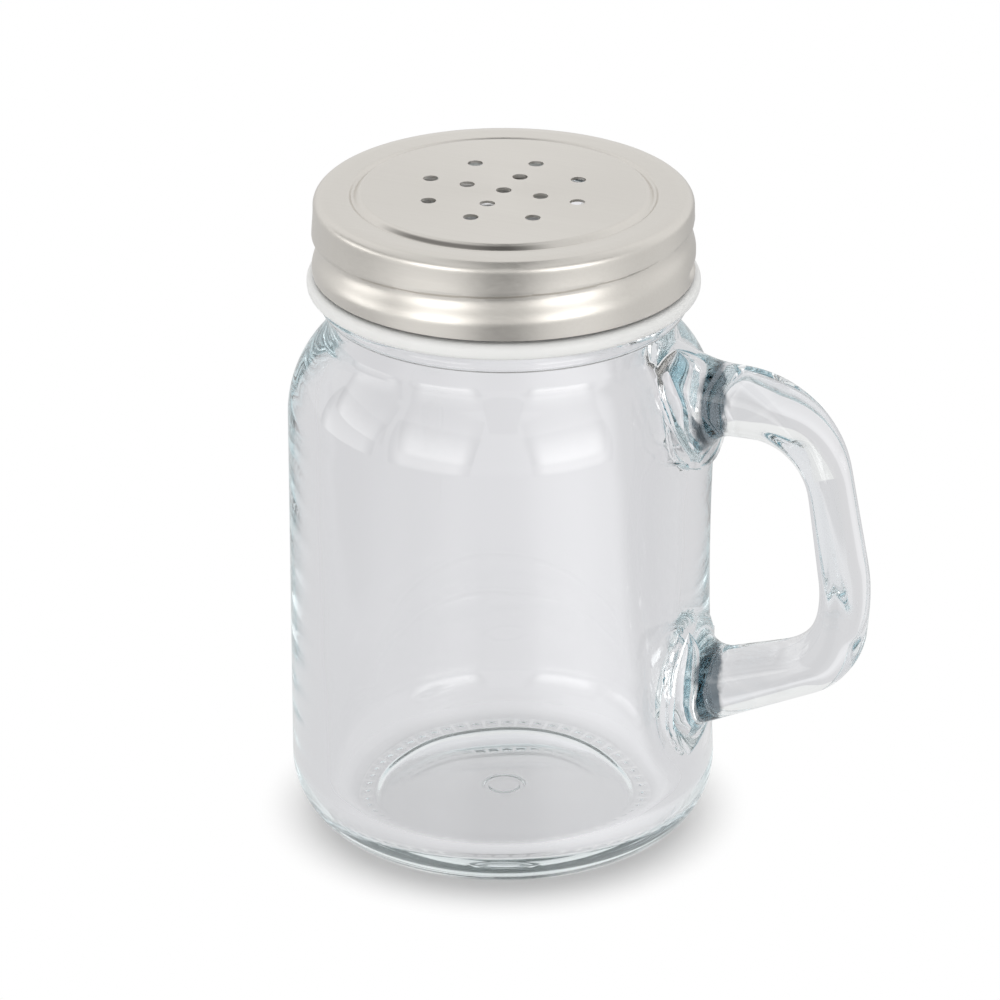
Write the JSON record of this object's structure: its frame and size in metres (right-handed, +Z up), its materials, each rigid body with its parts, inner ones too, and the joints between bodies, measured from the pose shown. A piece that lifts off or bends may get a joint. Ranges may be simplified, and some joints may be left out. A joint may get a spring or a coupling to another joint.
{
  "type": "salt shaker",
  "caption": "Clear glass salt shaker shaped as a small handled jar, with a perforated brushed steel screw cap and a sealing ring under it.",
  "frame": {"origin": "centre of the ring that the jar stands on, on the jar's axis", "axes": "+Z up along the jar's axis to the cap, +X outward through the middle of the handle, +Y across the handle"},
  "size_m": [0.0797, 0.0568, 0.0892],
  "materials": {
    "clear_glass": "clear soda-lime glass, polished",
    "brushed_cap": "brushed, warm grey",
    "seal": "soft white liner compound"
  },
  "bodies": {
    "jar": {"glass_jar": "clear_glass"},
    "seal": {"sealing_ring": "seal"},
    "cap": {"screw_cap": "brushed_cap"}
  },
  "joints": [
    {"name": "lid_rise", "type": "slide", "parent": "jar", "child": "seal", "axis": [0, 0, 1], "range_m": [0, 0.0151]},
    {"name": "lid_turn", "type": "hinge", "parent": "seal", "child": "cap", "pos_m": [0, 0, 0.0892], "axis": [0, 0, 1], "range_deg": [0, 1080]}
  ],
  "couplings": [
    {"joint": "lid_rise", "follows": "lid_turn", "m_per_rad": 0.00079577}
  ]
}
